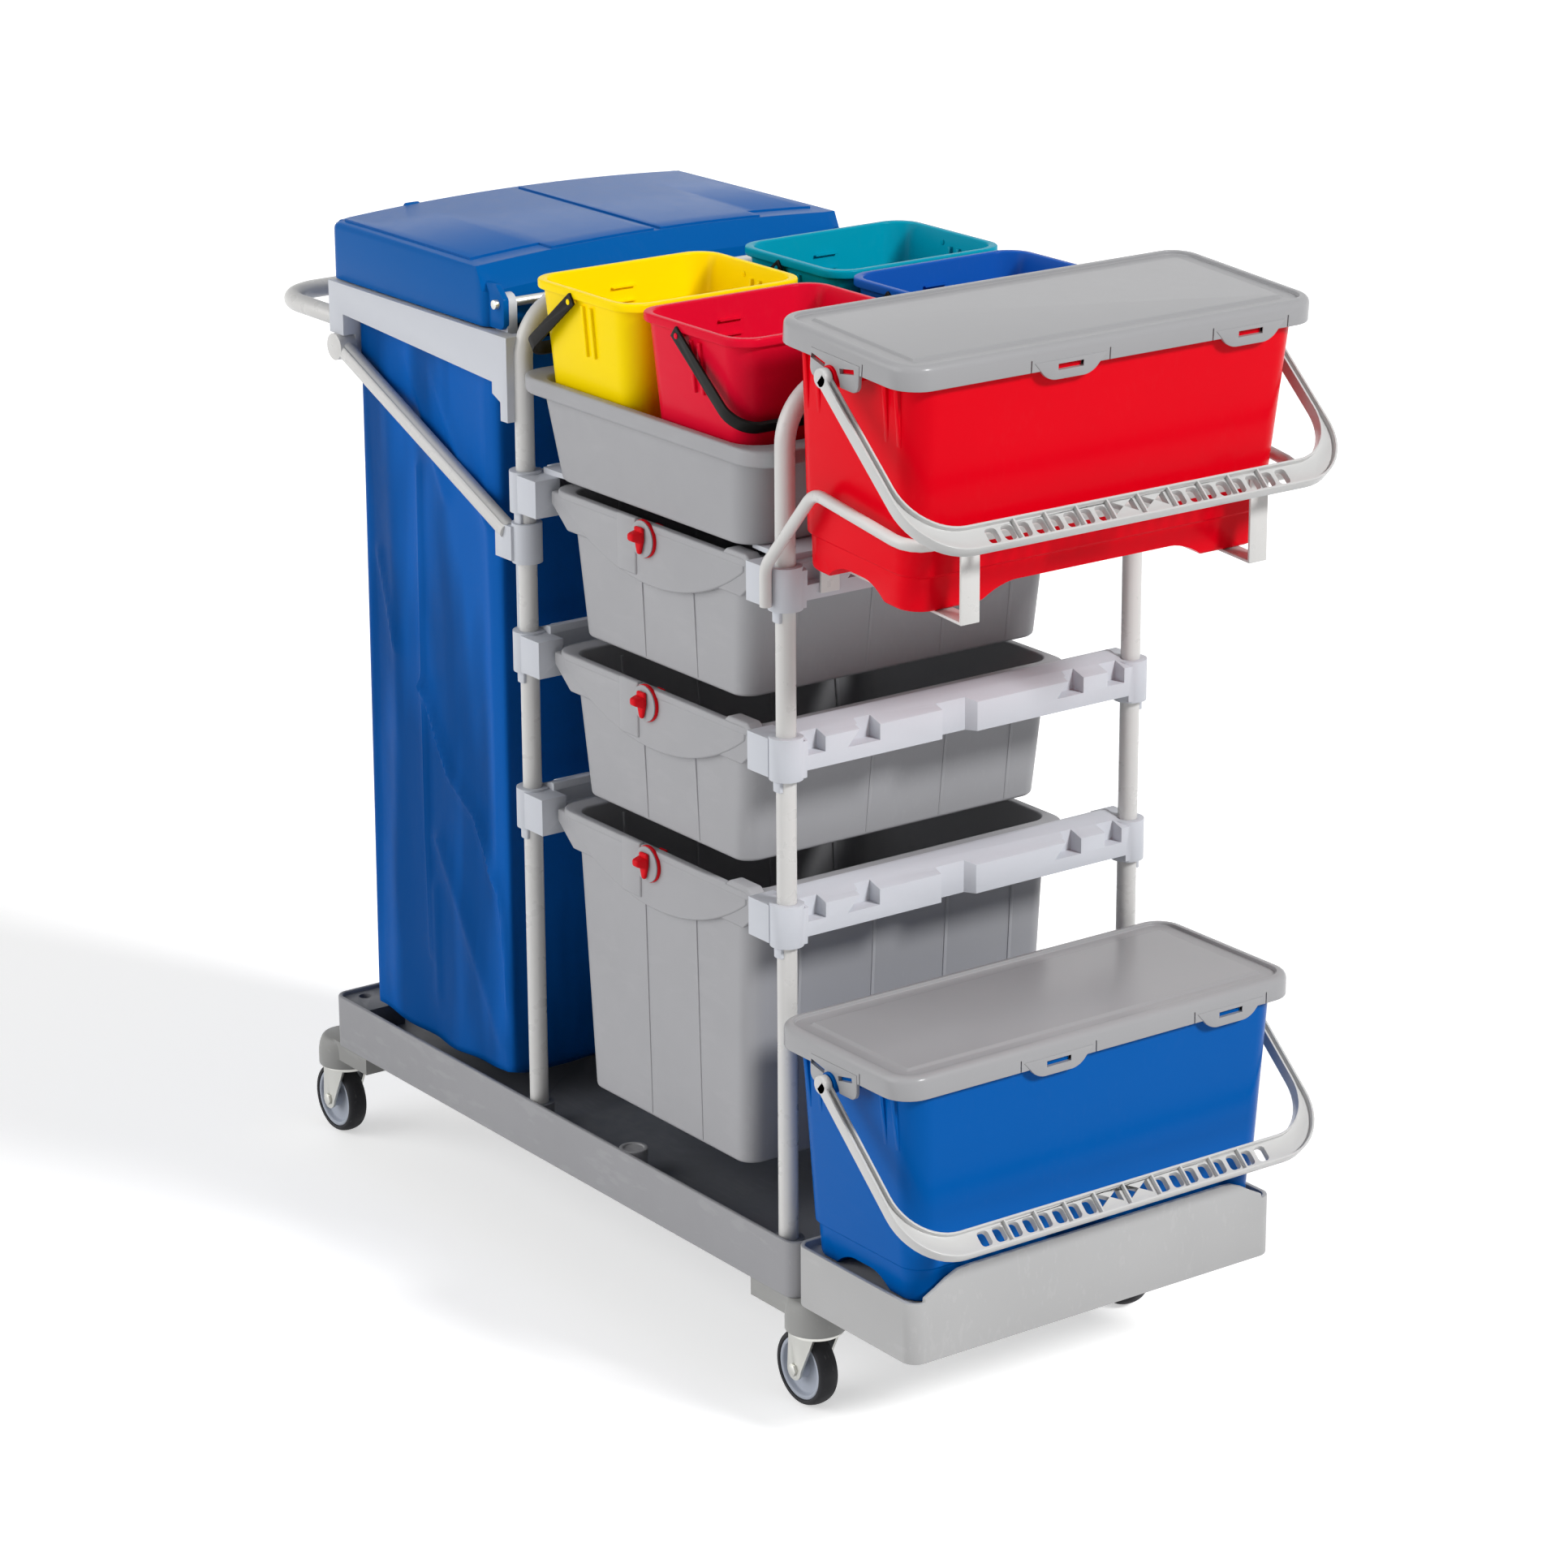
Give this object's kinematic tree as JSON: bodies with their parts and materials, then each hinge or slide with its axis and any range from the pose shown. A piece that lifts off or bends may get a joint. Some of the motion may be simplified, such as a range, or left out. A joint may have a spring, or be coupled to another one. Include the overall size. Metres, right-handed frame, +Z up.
{
  "type": "janitor cart",
  "caption": "Cleaning cart: tube frame on a castor deck with drawers, pails in a tray, a lidded waste bag, a push handle and lidded buckets with swing handles.",
  "frame": {"origin": "on the floor, under the middle of the cart's overall box", "axes": "+X from the push handle to the buckets, +Y to the far side, +Z up"},
  "size_m": [1.223, 0.526, 1.124],
  "materials": {
    "deck": "satin moulded plastic",
    "platform": "satin moulded plastic",
    "castor_housing": "satin moulded plastic",
    "castor_fork": "zinc plated",
    "castor_axle": "zinc plated",
    "wheel_hub": "satin moulded plastic",
    "tyre": "matt rubber",
    "tube": "satin coated",
    "rail": "satin moulded plastic",
    "tray": "satin moulded plastic",
    "drawer": "satin moulded plastic",
    "lock": "gloss moulded plastic",
    "pail_yellow": "gloss moulded plastic",
    "pail_red": "gloss moulded plastic",
    "pail_teal": "gloss moulded plastic",
    "pail_blue": "gloss moulded plastic",
    "bail": "matt moulded plastic",
    "rod": "zinc plated",
    "bag_lid": "satin moulded plastic",
    "bag": "coated cloth",
    "bucket_upper": "gloss moulded plastic",
    "bucket_lower": "gloss moulded plastic",
    "bucket_lid": "satin moulded plastic",
    "bucket_handle": "satin moulded plastic"
  },
  "bodies": {
    "frame": {"base_deck": "deck", "deck_sockets": "deck", "bucket_platform": "platform", "castor_housings": "castor_housing", "rear_hoop": "tube", "front_hoop": "tube", "rear_rail_1": "rail", "rear_rail_2": "rail", "rear_rail_3": "rail", "front_rail_1": "rail", "front_rail_2": "rail", "front_rail_3": "rail", "rail_clips": "rail", "top_tray": "tray", "bag_frame": "rail", "push_handle": "tube", "brace_near": "tube", "brace_far": "tube", "brace_collars": "rail", "hinge_rod": "rod", "waste_bag": "bag", "bucket_rack": "tube", "rack_straps": "tube"},
    "swivel_rear_near": {"castor_fork_rear_near": "castor_fork", "castor_axle_rear_near": "castor_axle"},
    "wheel_rear_near": {"wheel_hub_rear_near": "wheel_hub", "tyre_rear_near": "tyre"},
    "swivel_rear_far": {"castor_fork_rear_far": "castor_fork", "castor_axle_rear_far": "castor_axle"},
    "wheel_rear_far": {"wheel_hub_rear_far": "wheel_hub", "tyre_rear_far": "tyre"},
    "swivel_front_near": {"castor_fork_front_near": "castor_fork", "castor_axle_front_near": "castor_axle"},
    "wheel_front_near": {"wheel_hub_front_near": "wheel_hub", "tyre_front_near": "tyre"},
    "swivel_front_far": {"castor_fork_front_far": "castor_fork", "castor_axle_front_far": "castor_axle"},
    "wheel_front_far": {"wheel_hub_front_far": "wheel_hub", "tyre_front_far": "tyre"},
    "drawer_1": {"drawer_1": "drawer"},
    "drawer_lock_1": {"drawer_lock_1": "lock"},
    "drawer_2": {"drawer_2": "drawer"},
    "drawer_lock_2": {"drawer_lock_2": "lock"},
    "drawer_3": {"drawer_3": "drawer"},
    "drawer_lock_3": {"drawer_lock_3": "lock"},
    "bag_lid": {"bag_lid": "bag_lid"},
    "pail_yellow": {"pail_yellow": "pail_yellow"},
    "bail_yellow": {"bail_yellow": "bail"},
    "pail_red": {"pail_red": "pail_red"},
    "bail_red": {"bail_red": "bail"},
    "pail_teal": {"pail_teal": "pail_teal"},
    "bail_teal": {"bail_teal": "bail"},
    "pail_blue": {"pail_blue": "pail_blue"},
    "bail_blue": {"bail_blue": "bail"},
    "bucket_upper": {"bucket_upper": "bucket_upper"},
    "bucket_lid_upper": {"bucket_lid_upper": "bucket_lid"},
    "bucket_handle_upper": {"bucket_handle_upper": "bucket_handle"},
    "bucket_lower": {"bucket_lower": "bucket_lower"},
    "bucket_lid_lower": {"bucket_lid_lower": "bucket_lid"},
    "bucket_handle_lower": {"bucket_handle_lower": "bucket_handle"}
  },
  "joints": [
    {"name": "swivel_rear_near", "type": "hinge", "parent": "frame", "child": "swivel_rear_near", "pos_m": [-0.5375, -0.203, 0.1], "axis": [0, 0, 1], "continuous": true},
    {"name": "roll_rear_near", "type": "hinge", "parent": "swivel_rear_near", "child": "wheel_rear_near", "pos_m": [-0.5515, -0.203, 0.04], "axis": [0, 1, 0], "continuous": true},
    {"name": "swivel_rear_far", "type": "hinge", "parent": "frame", "child": "swivel_rear_far", "pos_m": [-0.5375, 0.203, 0.1], "axis": [0, 0, 1], "continuous": true},
    {"name": "roll_rear_far", "type": "hinge", "parent": "swivel_rear_far", "child": "wheel_rear_far", "pos_m": [-0.5515, 0.203, 0.04], "axis": [0, 1, 0], "continuous": true},
    {"name": "swivel_front_near", "type": "hinge", "parent": "frame", "child": "swivel_front_near", "pos_m": [0.362, -0.203, 0.1], "axis": [0, 0, 1], "continuous": true},
    {"name": "roll_front_near", "type": "hinge", "parent": "swivel_front_near", "child": "wheel_front_near", "pos_m": [0.348, -0.203, 0.04], "axis": [0, 1, 0], "continuous": true},
    {"name": "swivel_front_far", "type": "hinge", "parent": "frame", "child": "swivel_front_far", "pos_m": [0.362, 0.203, 0.1], "axis": [0, 0, 1], "continuous": true},
    {"name": "roll_front_far", "type": "hinge", "parent": "swivel_front_far", "child": "wheel_front_far", "pos_m": [0.348, 0.203, 0.04], "axis": [0, 1, 0], "continuous": true},
    {"name": "drawer_1_slide", "type": "slide", "parent": "frame", "child": "drawer_1", "axis": [0, -1, 0], "range_m": [0, 0.3]},
    {"name": "drawer_1_lock_turn", "type": "hinge", "parent": "drawer_1", "child": "drawer_lock_1", "pos_m": [0.1005, -0.217, 0.8463], "axis": [0, -1, 0], "range_deg": [0, 90]},
    {"name": "drawer_2_slide", "type": "slide", "parent": "frame", "child": "drawer_2", "axis": [0, -1, 0], "range_m": [0, 0.3]},
    {"name": "drawer_2_lock_turn", "type": "hinge", "parent": "drawer_2", "child": "drawer_lock_2", "pos_m": [0.1005, -0.217, 0.6763], "axis": [0, -1, 0], "range_deg": [0, 90]},
    {"name": "drawer_3_slide", "type": "slide", "parent": "frame", "child": "drawer_3", "axis": [0, -1, 0], "range_m": [0, 0.3]},
    {"name": "drawer_3_lock_turn", "type": "hinge", "parent": "drawer_3", "child": "drawer_lock_3", "pos_m": [0.1005, -0.217, 0.5063], "axis": [0, -1, 0], "range_deg": [0, 90]},
    {"name": "bag_lid_hinge", "type": "hinge", "parent": "frame", "child": "bag_lid", "pos_m": [-0.1505, 0, 1.038], "axis": [0, 1, 0], "range_deg": [0, 90]},
    {"name": "pail_yellow_lift", "type": "slide", "parent": "frame", "child": "pail_yellow", "axis": [0, 0, 1], "range_m": [0, 0.12]},
    {"name": "bail_yellow_swing", "type": "hinge", "parent": "pail_yellow", "child": "bail_yellow", "pos_m": [0.0045, -0.127, 1.0703], "axis": [0, 1, 0], "range_deg": [0, 120]},
    {"name": "pail_red_lift", "type": "slide", "parent": "frame", "child": "pail_red", "axis": [0, 0, 1], "range_m": [0, 0.12]},
    {"name": "bail_red_swing", "type": "hinge", "parent": "pail_red", "child": "bail_red", "pos_m": [0.1905, -0.127, 1.0703], "axis": [0, -1, 0], "range_deg": [0, 120]},
    {"name": "pail_teal_lift", "type": "slide", "parent": "frame", "child": "pail_teal", "axis": [0, 0, 1], "range_m": [0, 0.12]},
    {"name": "bail_teal_swing", "type": "hinge", "parent": "pail_teal", "child": "bail_teal", "pos_m": [0.0045, 0.127, 1.0703], "axis": [0, 1, 0], "range_deg": [0, 120]},
    {"name": "pail_blue_lift", "type": "slide", "parent": "frame", "child": "pail_blue", "axis": [0, 0, 1], "range_m": [0, 0.12]},
    {"name": "bail_blue_swing", "type": "hinge", "parent": "pail_blue", "child": "bail_blue", "pos_m": [0.1905, 0.127, 1.0703], "axis": [0, -1, 0], "range_deg": [0, 120]},
    {"name": "bucket_upper_lift", "type": "slide", "parent": "frame", "child": "bucket_upper", "axis": [0.0698, 0, 0.9976], "range_m": [0, 0.12]},
    {"name": "bucket_lid_upper_lift", "type": "slide", "parent": "bucket_upper", "child": "bucket_lid_upper", "axis": [0.0698, 0, 0.9976], "range_m": [0, 0.1]},
    {"name": "bucket_handle_upper_swing", "type": "hinge", "parent": "bucket_upper", "child": "bucket_handle_upper", "pos_m": [0.45217, 0, 1.08205], "axis": [0, -1, 0], "range_deg": [0, 125]},
    {"name": "bucket_lower_lift", "type": "slide", "parent": "frame", "child": "bucket_lower", "axis": [0, 0, 1], "range_m": [0, 0.15]},
    {"name": "bucket_lid_lower_lift", "type": "slide", "parent": "bucket_lower", "child": "bucket_lid_lower", "axis": [0, 0, 1], "range_m": [0, 0.1]},
    {"name": "bucket_handle_lower_swing", "type": "hinge", "parent": "bucket_lower", "child": "bucket_handle_lower", "pos_m": [0.4495, 0, 0.3883], "axis": [0, -1, 0], "range_deg": [0, 125]}
  ]
}
